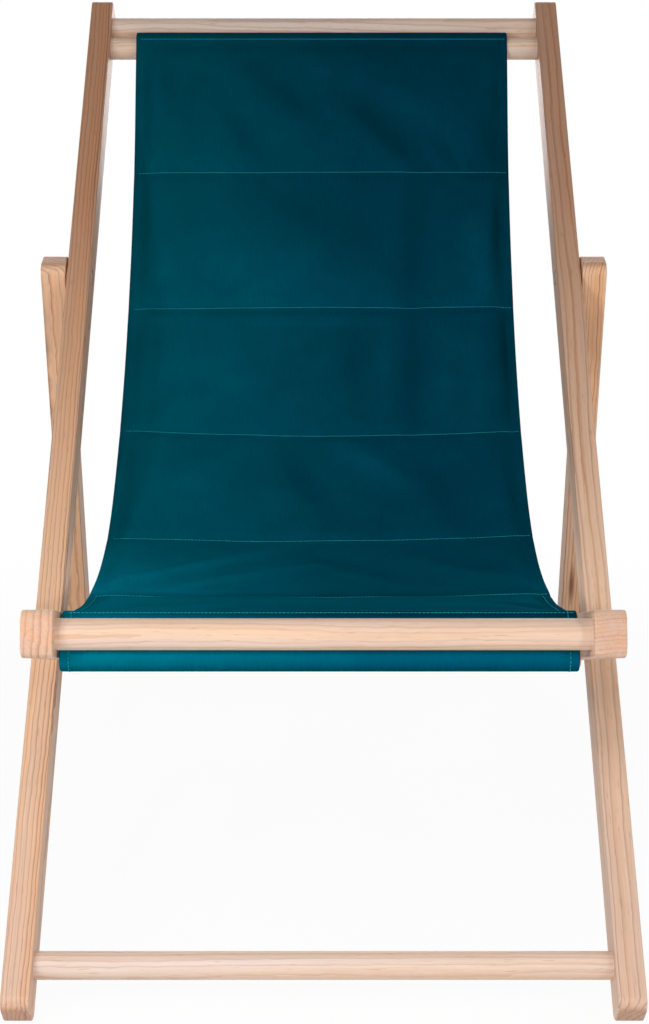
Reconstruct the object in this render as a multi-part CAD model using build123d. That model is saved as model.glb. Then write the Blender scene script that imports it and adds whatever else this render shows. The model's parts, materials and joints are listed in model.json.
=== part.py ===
from build123d import *
import math
import os

# Folding lounge chair: three hinged wooden frames and a quilted fabric sling.
# Millimetres, +Z up, +Y towards the back, origin on the floor under the middle of the chair.

# Stance: slope of the long back rails, and of the seat rails as they fall to the rear
back_slope = 40.85
seat_slope = 19.5

# Back frame
back_width = 540.0
back_rail_thickness = 24.5
back_rail_depth = 38.0
back_foot_to_pivot = 366.7
back_pivot_to_top = 855.6
back_pivot_to_prop_pivot = 445.0
top_bar_from_end = 31.5
top_bar_spacing = 32.5
top_bar_diameter = 25.0
bottom_bar_from_foot = 45.0
bottom_bar_diameter = 24.0

# Seat frame, inside the back frame
seat_rail_thickness = 26.0
seat_rail_depth = 39.0
seat_pivot_to_front = 280.6
front_bar_from_end = 25.0
front_bar_diameter = 26.0
sling_bar_front_diameter = 24.0
seat_bar_spacing = 32.5
rear_bar_from_end = 50.0
rear_bar_diameter = 22.0

# Prop frame, outside the back frame
prop_leg_thickness = 26.0
prop_leg_depth = 38.0
prop_leg_past_pivot = 20.0
prop_leg_past_bar = 24.0
prop_bar_diameter = 25.0

# Rests for the prop bar: the rear part of the seat rail is cut lower, with shallow hollows
rest_step = 6.0
rest_hollow_depth = 4.0
rest_pitch = 60.0
rest_count = 3
rest_clearance = 0.6
prop_bar_lead = 6.8

# Wood details
end_round = 11.0
edge_ease = 1.5
foot_trim = 1.5
tenon_diameter = 16.0
tenon_length = 16.0
tenon_end_gap = 0.5
glue_gap = 0.05
pin_diameter = 2.0
pin_length = 24.0

# Pivot hardware
bolt_diameter = 8.0
bolt_head_diameter = 16.0
bolt_head_height = 3.0
head_recess_depth = 3.6
head_recess_gap = 0.5
nut_sleeve_diameter = 11.0
nut_sleeve_length = 12.0
nut_sleeve_gap = 0.3
nut_floor = 1.5
washer_thickness = 1.5
washer_diameter = 24.0
bore_clearance = 0.05

# Sling
sling_rail_gap = 4.0
sling_seam_thickness = 3.0
sling_channel_crown = 3.5
sling_gap = 0.3
sling_dowel_diameter = 18.0
sling_dowel_inset = 3.0
tunnel_wall = 2.5

# Sling seams on the sitter's face: distance from the upper sling bar along the straight line to the front
# one, and how far the cloth hangs below that line
sling_seams = [
    (133.0, 82.2),
    (288.8, 154.2),
    (451.5, 191.0),
    (618.0, 184.8),
    (770.0, 110.6),
]


def turned(angle, along, across):
    """A vector with the given parts along and across a line at this slope, in the side plane."""
    c = math.cos(math.radians(angle))
    s = math.sin(math.radians(angle))
    return (along * c - across * s, along * s + across * c)


def added(point, step):
    return (point[0] + step[0], point[1] + step[1])


def apart(a, b):
    return math.hypot(b[0] - a[0], b[1] - a[1])


# Side plane, measured from the front foot's axis end: y to the back, z from the floor
round_to_axis = back_rail_depth / 2 - end_round
foot_axis_height = end_round - foot_trim - turned(back_slope, end_round, -round_to_axis)[1]
foot_end = (0.0, foot_axis_height)


def on_back(along, across=0.0):
    """A point of the back frame: distance up the rail from the main pivot, and to its front side."""
    return added(foot_end, turned(back_slope, back_foot_to_pivot + along, across))


main_pivot = on_back(0.0)


def on_seat(along, across=0.0):
    """A point of the seat frame: distance to the rear from the main pivot, and above the rail's axis."""
    return added(main_pivot, turned(-seat_slope, along, across))


# The seat rails reach to the floor: their rear round sits as far above it as the front feet's
rear_round_to_axis = seat_rail_depth / 2 - end_round
rear_round_drop = main_pivot[1] - (end_round - foot_trim)
rear_round_along = (
    rear_round_drop - rear_round_to_axis * math.cos(math.radians(seat_slope))
) / math.sin(math.radians(seat_slope))
seat_pivot_to_rear = rear_round_along + end_round

prop_pivot = on_back(back_pivot_to_prop_pivot)

# The prop bar lies over the seat rail about as far from the main pivot as an even triangle puts it
fold_angle = back_slope + seat_slope
prop_bar_radius = prop_bar_diameter / 2
rest_edge = seat_rail_depth / 2 - rest_step
prop_bar_above = rest_edge + rest_clearance + prop_bar_radius
prop_bar_along = 2 * back_pivot_to_prop_pivot * math.cos(math.radians(fold_angle)) + prop_bar_lead
prop_bar_place = on_seat(prop_bar_along, prop_bar_above)
prop_reach = apart(prop_pivot, prop_bar_place)
prop_slope = math.degrees(
    math.atan2(prop_bar_place[1] - prop_pivot[1], prop_bar_place[0] - prop_pivot[0])
)


def on_prop(along, across=0.0):
    """A point of the prop frame: distance down the leg from its pivot, and to its rear side."""
    return added(prop_pivot, turned(prop_slope, along, across))


# Faces across the chair, on the right side
back_outer = back_width / 2
back_inner = back_outer - back_rail_thickness
seat_outer = back_inner - washer_thickness
seat_inner = seat_outer - seat_rail_thickness
prop_inner = back_outer + washer_thickness
prop_outer = prop_inner + prop_leg_thickness
sling_edge = seat_inner - sling_rail_gap

# Bar places
top_bar_along = back_pivot_to_top - top_bar_from_end
sling_bar_top_along = top_bar_along - top_bar_spacing
bottom_bar_along = bottom_bar_from_foot - back_foot_to_pivot
front_bar_along = front_bar_from_end - seat_pivot_to_front
sling_bar_front_along = front_bar_along + seat_bar_spacing
rear_bar_along = seat_pivot_to_rear - rear_bar_from_end


def cylinder_x(diameter, x_low, x_high, place):
    """A round bar along X between two x positions, centred on a point of the side plane."""
    base = Plane(origin=(x_low, place[0], place[1]), z_dir=(1, 0, 0))
    return base * Cylinder(diameter / 2, x_high - x_low, align=(Align.CENTER, Align.CENTER, Align.MIN))


def cylinder_between(diameter, x, start, end):
    """A thin round pin in the plane at x, from one point of the side plane to another."""
    direction = (0, end[0] - start[0], end[1] - start[1])
    base = Plane(origin=(x, start[0], start[1]), z_dir=direction)
    return base * Cylinder(diameter / 2, apart(start, end), align=(Align.CENTER, Align.CENTER, Align.MIN))


def side_plane(x, origin, angle):
    """A sketch plane square to X whose first axis follows a rail."""
    direction = turned(angle, 1.0, 0.0)
    return Plane(origin=(x, origin[0], origin[1]), x_dir=(0, direction[0], direction[1]), z_dir=(1, 0, 0))


def rail(x_low, thickness, origin, angle, start, end, depth):
    """A straight rail with rounded ends and eased long edges."""
    outline = Pos((start + end) / 2, 0) * RectangleRounded(end - start, depth, end_round)
    solid = extrude(side_plane(x_low, origin, angle) * outline, thickness)
    rims = ShapeList()
    for face in solid.faces().filter_by(Axis.X):
        rims.extend(face.edges())
    return fillet(rims, edge_ease)


def floor_cut():
    """Everything below the floor, to trim the feet level."""
    size = 4 * (back_pivot_to_top + back_foot_to_pivot)
    return Pos(0, 0, -size / 2) * Box(size, size, size)


def tenon_bar(diameter, inner, place):
    """A round bar between two rail faces, with a tenon at each end."""
    reach = inner + tenon_length
    bar = cylinder_x(diameter, -inner, inner, place)
    return bar + cylinder_x(tenon_diameter, -reach, reach, place)


def tenon_socket(inner, place):
    """The blind hole for a tenon, in the right-hand rail."""
    return cylinder_x(tenon_diameter + 2 * glue_gap, inner, inner + tenon_length + tenon_end_gap, place)


def tenon_pin(inner, start, end, spare=0.0):
    """A brad through the rail's edge into a tenon, on the right side."""
    return cylinder_between(pin_diameter + 2 * spare, inner + tenon_length / 2, start, end)


def mirrored(shape):
    return mirror(shape, about=Plane.YZ)


def both_sides(shape):
    return [shape, mirrored(shape)]


def pivot_holes(x_head, x_nut, place):
    """Bore, head recess and nut recess of one pivot, on the right side; the head faces outwards."""
    recess = bolt_head_diameter + 2 * head_recess_gap
    sleeve = nut_sleeve_diameter + 2 * nut_sleeve_gap
    bore = cylinder_x(bolt_diameter + 2 * bore_clearance, x_nut, x_head, place)
    head = cylinder_x(recess, x_head - head_recess_depth, x_head, place)
    nut = cylinder_x(recess, x_nut, x_nut + head_recess_depth, place)
    sleeve_depth = head_recess_depth + nut_sleeve_length + nut_sleeve_gap
    return bore + head + nut + cylinder_x(sleeve, x_nut, x_nut + sleeve_depth, place)


def pivot_bolt(x_head, x_nut, place):
    """A flat-headed pivot bolt, its head recessed in the outer face."""
    seat = x_head - head_recess_depth
    shank_end = x_nut + head_recess_depth - bolt_head_height + nut_floor
    shank = cylinder_x(bolt_diameter, shank_end, seat, place)
    head = cylinder_x(bolt_head_diameter, seat, seat + bolt_head_height, place)
    rim = head.edges().filter_by(GeomType.CIRCLE).sort_by(Axis.X)[-1]
    return shank + chamfer(rim, bolt_head_height / 3)


def pivot_nut(x_nut, place):
    """A flanged sleeve nut on the bolt's inner end."""
    seat = x_nut + head_recess_depth
    flange = cylinder_x(bolt_head_diameter, seat - bolt_head_height, seat, place)
    rim = flange.edges().filter_by(GeomType.CIRCLE).sort_by(Axis.X)[0]
    flange = chamfer(rim, bolt_head_height / 3)
    sleeve = cylinder_x(nut_sleeve_diameter, seat, seat + nut_sleeve_length, place)
    thread_start = seat - bolt_head_height + nut_floor
    thread = cylinder_x(bolt_diameter + 2 * glue_gap, thread_start, seat + nut_sleeve_length, place)
    return flange + sleeve - thread


def pivot_washer(x_low, place):
    ring = cylinder_x(washer_diameter, x_low, x_low + washer_thickness, place)
    return ring - cylinder_x(bolt_diameter + 2 * bore_clearance, x_low, x_low + washer_thickness, place)


# Back frame
back_bars = {
    "top_bar": (top_bar_diameter, top_bar_along),
    "sling_bar_top": (top_bar_diameter, sling_bar_top_along),
    "bottom_bar": (bottom_bar_diameter, bottom_bar_along),
}
# Seat frame
seat_bars = {
    "front_bar": (front_bar_diameter, front_bar_along),
    "sling_bar_front": (sling_bar_front_diameter, sling_bar_front_along),
    "rear_bar": (rear_bar_diameter, rear_bar_along),
}
# Prop frame
prop_bars = {"prop_bar": (prop_bar_diameter, prop_reach)}


def framed(bars, on_frame, rail_solid, inner, edge_side):
    """Sockets a rail for its bars; gives the right rail, the bars and the pins of both sides."""
    made = {}
    pins = []
    for name, (diameter, along) in bars.items():
        place = on_frame(along)
        pin_start = on_frame(along, edge_side)
        toward = -1.0 if edge_side > 0 else 1.0
        pin_end = on_frame(along, edge_side + toward * pin_length)
        hole = tenon_pin(inner, pin_start, pin_end, glue_gap)
        bar = tenon_bar(diameter, inner, place)
        made[name] = bar - hole - mirrored(hole)
        rail_solid = rail_solid - tenon_socket(inner, place) - hole
        pins.extend(both_sides(tenon_pin(inner, pin_start, pin_end)))
    return rail_solid, made, pins


def back_frame_parts():
    solid = rail(
        back_inner, back_rail_thickness, main_pivot, back_slope,
        -back_foot_to_pivot, back_pivot_to_top, back_rail_depth,
    )
    solid = solid - floor_cut()
    solid = solid - pivot_holes(back_outer, seat_inner, main_pivot)
    solid = solid - pivot_holes(prop_outer, back_inner, prop_pivot)
    return framed(back_bars, on_back, solid, back_inner, -back_rail_depth / 2)


def seat_rest_cut():
    """The lowered rear edge of the seat rail and the hollows where the prop bar rests."""
    hollow_radius = prop_bar_radius + rest_clearance
    hollow_height = rest_edge - rest_hollow_depth + hollow_radius
    rear = seat_pivot_to_rear + end_round
    top = seat_rail_depth + prop_bar_diameter
    lowered = Pos((prop_bar_along + rear) / 2, (rest_edge + top) / 2) * Rectangle(
        rear - prop_bar_along, top - rest_edge
    )
    shape = lowered + Pos(prop_bar_along, prop_bar_above) * Circle(hollow_radius)
    for index in range(rest_count):
        shape = shape + Pos(prop_bar_along + index * rest_pitch, hollow_height) * Circle(hollow_radius)
    return extrude(side_plane(seat_inner, main_pivot, -seat_slope) * shape, seat_rail_thickness)


def seat_frame_parts():
    solid = rail(
        seat_inner, seat_rail_thickness, main_pivot, -seat_slope,
        -seat_pivot_to_front, seat_pivot_to_rear, seat_rail_depth,
    )
    solid = solid - floor_cut() - seat_rest_cut()
    solid = solid - pivot_holes(back_outer, seat_inner, main_pivot)
    return framed(seat_bars, on_seat, solid, seat_inner, -seat_rail_depth / 2)


def prop_frame_parts():
    solid = rail(
        prop_inner, prop_leg_thickness, prop_pivot, prop_slope,
        -prop_leg_past_pivot, prop_reach + prop_leg_past_bar, prop_leg_depth,
    )
    solid = solid - pivot_holes(prop_outer, back_inner, prop_pivot)
    return framed(prop_bars, on_prop, solid, prop_inner, prop_leg_depth / 2)


# Sling: a side outline made of arcs, drawn across the chair's width

tunnel_radius = sling_dowel_diameter / 2 + sling_gap + tunnel_wall


def nested_between(radius_a, radius_b, spacing):
    """Where a tunnel lies against two bars: distance past the first bar, and depth below the pair."""
    reach_a = radius_a + tunnel_radius + sling_gap
    reach_b = radius_b + tunnel_radius + sling_gap
    past = (reach_a ** 2 - reach_b ** 2 + spacing ** 2) / (2 * spacing)
    return past, math.sqrt(reach_a ** 2 - past ** 2)


top_past, top_depth = nested_between(top_bar_diameter / 2, top_bar_diameter / 2, top_bar_spacing)
front_past, front_depth = nested_between(front_bar_diameter / 2, sling_bar_front_diameter / 2, seat_bar_spacing)
top_tunnel = on_back(sling_bar_top_along + top_past, -top_depth)
front_tunnel = on_seat(front_bar_along + front_past, -front_depth)
top_wrap_inner = top_bar_diameter / 2 + sling_gap
front_wrap_inner = sling_bar_front_diameter / 2 + sling_gap
sling_bar_top_place = on_back(sling_bar_top_along)
sling_bar_front_place = on_seat(sling_bar_front_along)


def chord_slope(a, b):
    return math.degrees(math.atan2(b[1] - a[1], b[0] - a[0]))


def on_sling(along, sag):
    """A point of the sling: distance from the upper sling bar towards the front one, and below their line."""
    slope = chord_slope(sling_bar_top_place, sling_bar_front_place)
    return added(sling_bar_top_place, turned(slope, along, sag))


def polar(centre, radius, angle):
    return added(centre, turned(angle, radius, 0.0))


def tangent_angle(point, centre, radius, side):
    """Direction from a circle's centre to where a line from the point touches it."""
    toward = math.degrees(math.atan2(point[1] - centre[1], point[0] - centre[0]))
    return toward + side * math.degrees(math.acos(radius / apart(point, centre)))


def arc_through(start, middle, end):
    return ThreePointArc((start[0], start[1]), (middle[0], middle[1]), (end[0], end[1]))


def straight(start, end):
    return Line((start[0], start[1]), (end[0], end[1]))


def banded(centre, inner, outer, start_angle, end_angle):
    """Cloth bent round a bar between two angles."""
    middle = (start_angle + end_angle) / 2
    a, b = polar(centre, inner, start_angle), polar(centre, inner, end_angle)
    c, d = polar(centre, outer, end_angle), polar(centre, outer, start_angle)
    return make_face([
        arc_through(a, polar(centre, inner, middle), b),
        straight(b, c),
        arc_through(c, polar(centre, outer, middle), d),
        straight(d, a),
    ])


def neck(start, angle, length, thickness):
    """A straight run of cloth from a bar into its tunnel."""
    corners = [
        added(start, turned(angle, 0.0, -thickness / 2)),
        added(start, turned(angle, length, -thickness / 2)),
        added(start, turned(angle, length, thickness / 2)),
        added(start, turned(angle, 0.0, thickness / 2)),
    ]
    return make_face([straight(corners[i], corners[(i + 1) % 4]) for i in range(4)])


def turn_between(first, second):
    """How far the cloth turns from one chord to the next, in degrees."""
    return (second - first + 180.0) % 360.0 - 180.0


def sling_outline():
    """The side outline: quilted channels, a wrap over each sling bar, and a tunnel at each end."""
    cloth = sling_seam_thickness
    seams = [on_sling(along, sag) for along, sag in sling_seams]
    top_outer = top_wrap_inner + cloth
    front_outer = front_wrap_inner + cloth
    top_leave = tangent_angle(seams[0], sling_bar_top_place, top_outer, -1)
    front_leave = tangent_angle(seams[-1], sling_bar_front_place, front_outer, 1)
    faces = [polar(sling_bar_top_place, top_outer, top_leave)]
    faces.extend(seams)
    faces.append(polar(sling_bar_front_place, front_outer, front_leave))

    slopes = [chord_slope(faces[i], faces[i + 1]) for i in range(len(faces) - 1)]
    inward = [top_leave + 180.0]
    for i in range(1, len(slopes)):
        inward.append(slopes[i - 1] + turn_between(slopes[i - 1], slopes[i]) / 2 + 90.0)
    inward.append(front_leave + 180.0)
    backs = [added(faces[i], turned(inward[i], cloth, 0.0)) for i in range(len(faces))]

    shape = None
    for i, slope in enumerate(slopes):
        turns = []
        if i > 0:
            turns.append(turn_between(slopes[i - 1], slope))
        if i + 1 < len(slopes):
            turns.append(turn_between(slope, slopes[i + 1]))
        length = apart(faces[i], faces[i + 1])
        sag = length * math.radians(abs(sum(turns) / len(turns))) / 8
        half = ((faces[i][0] + faces[i + 1][0]) / 2, (faces[i][1] + faces[i + 1][1]) / 2)
        face_middle = added(half, turned(slope + 90.0, sag - sling_channel_crown, 0.0))
        back_middle = added(half, turned(slope + 90.0, sag + cloth + sling_channel_crown, 0.0))
        channel = make_face([
            arc_through(faces[i], face_middle, faces[i + 1]),
            straight(faces[i + 1], backs[i + 1]),
            arc_through(backs[i + 1], back_middle, backs[i]),
            straight(backs[i], faces[i]),
        ])
        shape = channel if shape is None else shape + channel

    top_turn = top_leave + turn_between(top_leave, back_slope)
    shape = shape + banded(sling_bar_top_place, top_wrap_inner, top_outer, top_leave, top_turn)
    front_turn = front_leave + turn_between(front_leave, 180.0 - seat_slope)
    shape = shape + banded(sling_bar_front_place, front_wrap_inner, front_outer, front_leave, front_turn)

    wall_middle = tunnel_radius - tunnel_wall / 2
    top_neck = polar(sling_bar_top_place, top_wrap_inner + cloth / 2, back_slope)
    shape = shape + neck(top_neck, back_slope - 90.0, top_depth - wall_middle, cloth)
    front_neck = polar(sling_bar_front_place, front_wrap_inner + cloth / 2, 180.0 - seat_slope)
    shape = shape + neck(front_neck, -seat_slope - 90.0, front_depth - wall_middle, cloth)

    bore = sling_dowel_diameter / 2 + sling_gap
    for centre in (top_tunnel, front_tunnel):
        shape = shape + Pos(centre[0], centre[1]) * Circle(tunnel_radius)
    for centre in (top_tunnel, front_tunnel):
        shape = shape - Pos(centre[0], centre[1]) * Circle(bore)
    return shape


def sling_solid():
    return extrude(Plane.YZ.offset(-sling_edge) * sling_outline(), 2 * sling_edge)


def sling_dowel(place):
    half = sling_edge - sling_dowel_inset
    dowel = cylinder_x(sling_dowel_diameter, -half, half, place)
    return chamfer(dowel.edges().filter_by(GeomType.CIRCLE), edge_ease)


def pivot_parts(prefix, x_head, x_nut, x_washer, place):
    """Bolts, nuts and washers of one pivot on both sides."""
    bolt = pivot_bolt(x_head, x_nut, place)
    nut = pivot_nut(x_nut, place)
    return {
        prefix + "_bolt_right": bolt,
        prefix + "_bolt_left": mirrored(bolt),
        prefix + "_nut_right": nut,
        prefix + "_nut_left": mirrored(nut),
        prefix + "_washers": Compound(children=both_sides(pivot_washer(x_washer, place))),
    }


def all_parts():
    parts = {}
    frames = {
        "back": ("rail", back_frame_parts()),
        "seat": ("rail", seat_frame_parts()),
        "prop": ("leg", prop_frame_parts()),
    }
    for frame, (member, (side_rail, bars, pins)) in frames.items():
        parts[frame + "_" + member + "_right"] = side_rail
        parts[frame + "_" + member + "_left"] = mirrored(side_rail)
        parts.update(bars)
        parts[frame + "_frame_pins"] = Compound(children=pins)
    parts.update(pivot_parts("main_pivot", back_outer, seat_inner, seat_outer, main_pivot))
    parts.update(pivot_parts("prop_pivot", prop_outer, back_inner, back_outer, prop_pivot))
    parts["sling"] = sling_solid()
    parts["sling_dowel_top"] = sling_dowel(top_tunnel)
    parts["sling_dowel_front"] = sling_dowel(front_tunnel)
    return parts


def main():
    parts = all_parts()
    boxes = [shape.bounding_box() for shape in parts.values()]
    front = min(box.min.Y for box in boxes)
    rear = max(box.max.Y for box in boxes)
    middle = (front + rear) / 2
    os.makedirs("parts", exist_ok=True)
    for name, shape in parts.items():
        export_step(Pos(0, -middle, 0) * shape, "parts/" + name + ".step")
    print("middle of the chair behind the front foot end", round(middle, 4))
    print("depth", round(rear - front, 2), "height", round(max(box.max.Z for box in boxes), 2))
    places = {"main pivot": main_pivot, "prop pivot": prop_pivot, "prop bar": prop_bar_place}
    for name, place in places.items():
        print(name, round(place[0] - middle, 4), round(place[1], 4))
    print("prop slope", round(prop_slope, 3), "prop reach", round(prop_reach, 2))
    print("seat rail length", round(seat_pivot_to_front + seat_pivot_to_rear, 2))


main()
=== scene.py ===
import bmesh
import bpy
import json
import math
import numpy as np
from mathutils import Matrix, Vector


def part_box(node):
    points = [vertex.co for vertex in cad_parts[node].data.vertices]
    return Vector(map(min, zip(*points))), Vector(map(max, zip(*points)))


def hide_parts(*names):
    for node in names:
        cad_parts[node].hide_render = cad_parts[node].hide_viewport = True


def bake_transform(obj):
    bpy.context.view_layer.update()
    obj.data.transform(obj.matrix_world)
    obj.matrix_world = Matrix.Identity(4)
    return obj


# Folding lounge chair: looks for the wooden frames, the steel pivots and the quilted sling.
# Metres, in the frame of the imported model: +Z up, +Y to the back.

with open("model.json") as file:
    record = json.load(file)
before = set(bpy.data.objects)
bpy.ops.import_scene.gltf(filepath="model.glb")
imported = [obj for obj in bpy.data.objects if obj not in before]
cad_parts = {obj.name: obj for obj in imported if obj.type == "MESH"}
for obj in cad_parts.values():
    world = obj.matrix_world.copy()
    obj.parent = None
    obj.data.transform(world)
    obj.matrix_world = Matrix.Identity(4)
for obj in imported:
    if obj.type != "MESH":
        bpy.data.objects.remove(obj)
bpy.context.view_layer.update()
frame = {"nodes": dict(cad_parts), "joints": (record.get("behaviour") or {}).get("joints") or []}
nodes = frame["nodes"]
joints = {joint["name"]: joint for joint in frame["joints"]}

# Camera, from the photograph's edges
CAMERA_PLACE = (0.0007, -2.0185, 0.862)
CAMERA_PITCH = 15.0
FOCAL_PIXELS = 2050.0
IMAGE_HEIGHT = 1024.0
SENSOR_WIDTH = 36.0

# Sling: cloth sizes
SLING_WIDTH = 0.426
CLOTH_THICKNESS = 0.0026
SEAM_THICKNESS = 0.0030
HEM_WIDTH = 0.009
HEM_THICKNESS = 0.0036
EDGE_ROUND = 0.0015
CHANNEL_CROWN = 0.0062
CROWN_RISE = 0.014
CROWN_EDGE = 0.016
BAR_GAP = 0.0003
FLAP_GAP = 0.00015
FLAP_ANGLE = 80.0
RING_START = 140.0
RING_END = 390.0
BAR_RELEASE = -40.0
# The puff starts this far from the cloth's side edges, and this share of it rises at once beside a seam
CROWN_INSET = 0.0072
SEAM_PUFF = 0.25
# Lengths over which the thickness changes, at the bars and at a hem's inner edge
BAR_BLEND = 0.02
HEM_BLEND = 0.002
# Least share left of the squared thickness at the cloth's edge, which keeps face and back apart
EDGE_LEAST = 0.06

# Points on each stretch of the cloth's path: the flap, into the tunnel, round the dowel, out of the tunnel,
# over the bar and from seam to seam
FLAP_STEPS = 30
ENTRY_STEPS = 4
RING_STEPS = 48
EXIT_STEPS = 14
WRAP_STEPS = 40
SPAN_STEPS = 60

# Spacing of the cloth's mesh: on the wraps, on the face, and closer within a distance of a seam
WRAP_ROW_STEP = 0.0016
FACE_ROW_STEP = 0.0032
SEAM_ROW_STEPS = [(0.006, 0.0009), (0.02, 0.0018)]
# Columns from each side edge inwards, the even step between them and the least gap where they meet
EDGE_COLUMNS = [
    0.0, 0.0004, 0.0009, 0.0015, 0.003, 0.005, 0.0062, 0.0072, 0.0082, 0.0092,
    0.0105, 0.0125, 0.015, 0.018, 0.021,
]
COLUMN_STEP = 0.0035
COLUMN_MARGIN = 0.001

# Seams on the sitter's face: distance from the upper sling bar along the straight line to the front one,
# and how far the cloth hangs below that line
SEAMS = [
    (0.1330, 0.0822),
    (0.2888, 0.1542),
    (0.4515, 0.1910),
    (0.6180, 0.1848),
    (0.7700, 0.1106),
]
# How far each seam runs out of square towards the front: at the left edge, in the middle, at the right edge
SEAM_DRIFTS = [
    (-0.001, -0.003, -0.002),
    (0.000, -0.004, -0.002),
    (-0.002, 0.002, -0.001),
    (0.001, 0.001, -0.005),
    (0.001, 0.001, -0.006),
]
# The cloth lies a little to the left: sideways shift at the top, in the middle and at the front
SLING_SHIFTS = (-0.0026, -0.0036, -0.0034)

# Folds in the cloth: channel from the top, then its two ends as (share across from -1 to 1, share down the
# channel from 0 to 1), half width and height
FOLDS = [
    (0, (0.07, 0.30), (0.56, 0.95), 0.013, -0.0039),
    (0, (0.22, 0.22), (0.75, 0.75), 0.016, 0.0024),
    (0, (0.62, 0.72), (0.74, 0.98), 0.007, -0.0023),
    (0, (0.78, 0.85), (0.82, 0.99), 0.005, -0.0015),
    (0, (0.86, 0.50), (0.95, 0.95), 0.009, -0.0019),
    (0, (-0.35, 0.18), (0.02, 0.62), 0.014, -0.0027),
    (0, (-0.10, 0.10), (0.25, 0.50), 0.013, 0.0018),
    (0, (-0.58, 0.30), (-0.32, 0.95), 0.015, -0.0021),
    (0, (-0.85, 0.10), (-0.80, 0.50), 0.009, -0.0014),
    (1, (0.51, 0.02), (0.46, 0.98), 0.014, -0.0028),
    (1, (0.82, 0.35), (0.89, 0.98), 0.014, 0.0040),
    (1, (0.94, 0.15), (0.93, 0.75), 0.006, -0.0024),
    (1, (-0.65, 0.55), (0.10, 0.92), 0.045, 0.0026),
    (1, (-0.30, 0.15), (0.20, 0.45), 0.030, -0.0029),
    (1, (0.80, 0.05), (0.82, 0.95), 0.030, 0.0014),
    (2, (0.81, 0.05), (0.82, 0.95), 0.028, 0.0014),
    (2, (0.18, 0.02), (0.16, 0.80), 0.013, -0.0022),
    (2, (0.33, 0.10), (0.32, 0.95), 0.011, 0.0018),
    (2, (0.48, 0.02), (0.46, 0.98), 0.012, -0.0030),
    (2, (0.64, 0.10), (0.62, 0.90), 0.011, 0.0018),
    (2, (0.96, 0.05), (0.96, 0.95), 0.006, -0.0026),
    (2, (-0.60, 0.30), (-0.35, 0.80), 0.040, 0.0014),
    (3, (-0.20, 0.05), (0.05, 0.80), 0.018, -0.0028),
    (3, (0.10, 0.10), (0.45, 0.50), 0.016, 0.0032),
    (3, (0.48, 0.20), (0.70, 0.90), 0.020, -0.0024),
    (3, (-0.80, 0.30), (-0.45, 0.70), 0.035, 0.0014),
    (4, (-0.92, 0.80), (-0.15, 0.15), 0.010, 0.0027),
    (4, (-0.75, 0.95), (0.00, 0.45), 0.009, 0.0019),
    (4, (-0.10, 0.20), (0.35, 0.75), 0.018, -0.0023),
    (4, (0.45, 0.25), (0.90, 0.65), 0.020, -0.0023),
    (5, (0.70, 0.45), (0.93, 0.90), 0.009, -0.0012),
    (5, (-0.85, 0.85), (-0.40, 0.45), 0.011, -0.0008),
]
# All folds are this much deeper than listed
FOLD_DEPTH = 1.4
# Share of a fold's height that is left at its ends and beside a seam, the share of its length that each end
# takes, and how far a seam's hold reaches
FOLD_REST = 0.35
FOLD_END = 0.04
SEAM_HOLD = 0.012
# How far a fold runs on past its channel
FOLD_OVERRUN = 0.02
# Across its width the cloth hangs lower in the middle
WIDTH_SAG = 0.005
SAG_POWER = 1.5
# Faint waves over the whole face: height, and two waves as radians per metre across and along
RUMPLE_HEIGHT = 0.0005
RUMPLE_WAVES = [(41.0, 17.0), (-9.0, 33.0)]
# The cloth lies loose on the front bar
FRONT_PUFF = 0.0030
FRONT_PUFF_REACH = 0.011
FRONT_PUFF_ANGLE = 85.0
# The pull of the thread's ends on the cloth
PUCKER_DEPTH = 0.0013
PUCKER_REACH = 0.009

# Stitching
STITCH_PITCH = 0.0034
STITCH_LENGTH = 0.0029
THREAD_RADIUS = 0.00036
STITCH_INSET = 0.0055
HEM_STITCH_INSET = 0.0077
HEM_STITCH_END = 0.045
# Rings of one stitch: share of its length, then its radius and height as shares of the thread's radius
STITCH_RINGS = [(0.0, 0.45, -0.6), (0.15, 1.0, 0.35), (0.85, 1.0, 0.35), (1.0, 0.45, -0.6)]
STITCH_SIDES = 6
FRONT_STITCH_ANGLES = (57.0, 74.0)
TOP_STITCH_ANGLE = 96.0

# Wood: colours as seen on a screen, from 0 to 255
RAIL_LIGHT = (238, 194, 163)
RAIL_DARK = (148, 86, 52)
BACK_RIGHT_LIGHT = (236, 197, 170)
CALM_DARK = (178, 116, 86)
SEAT_LEFT_LIGHT = (228, 193, 171)
SEAT_RIGHT_LIGHT = (224, 191, 172)
BAR_LIGHT = (226, 198, 183)
BAR_DARK = (198, 154, 130)
TOP_BAR_LIGHT = (243, 218, 203)
BOTTOM_BAR_LIGHT = (233, 209, 198)
GOLDEN_TINT = (255, 242, 219)
COOL_TINT = (247, 252, 255)
PORE_COLOUR = (158, 104, 74)
RESIN_COLOUR = (118, 66, 42)
# Painted shade on the back rails, redder and darker towards the top, and painted cool bounce light at the
# foot
RAIL_TOP_PAINTED_SHADE = (208, 191, 182)
RAIL_FOOT_PAINTED_BOUNCE = (240, 243, 253)
TINT_HEIGHTS = (0.30, 0.62)
FOOT_HEIGHTS = (0.06, 0.24)

# Wood: noise scales per metre, across the grain, along it and across it
WANDER_SCALE = (9.0, 2.6, 9.0)
RIPPLE_SCALE = (40.0, 38.0, 40.0)
UNEVEN_SCALE = (95.0, 0.8, 95.0)
STRENGTH_SCALE = (14.0, 5.0, 14.0)
FIBRE_SCALE = (1400.0, 22.0, 1400.0)
STREAK_SCALE = (420.0, 5.0, 420.0)
TONE_SCALE = (70.0, 1.4, 70.0)
PORE_SCALE = (900.0, 60.0, 900.0)
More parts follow.
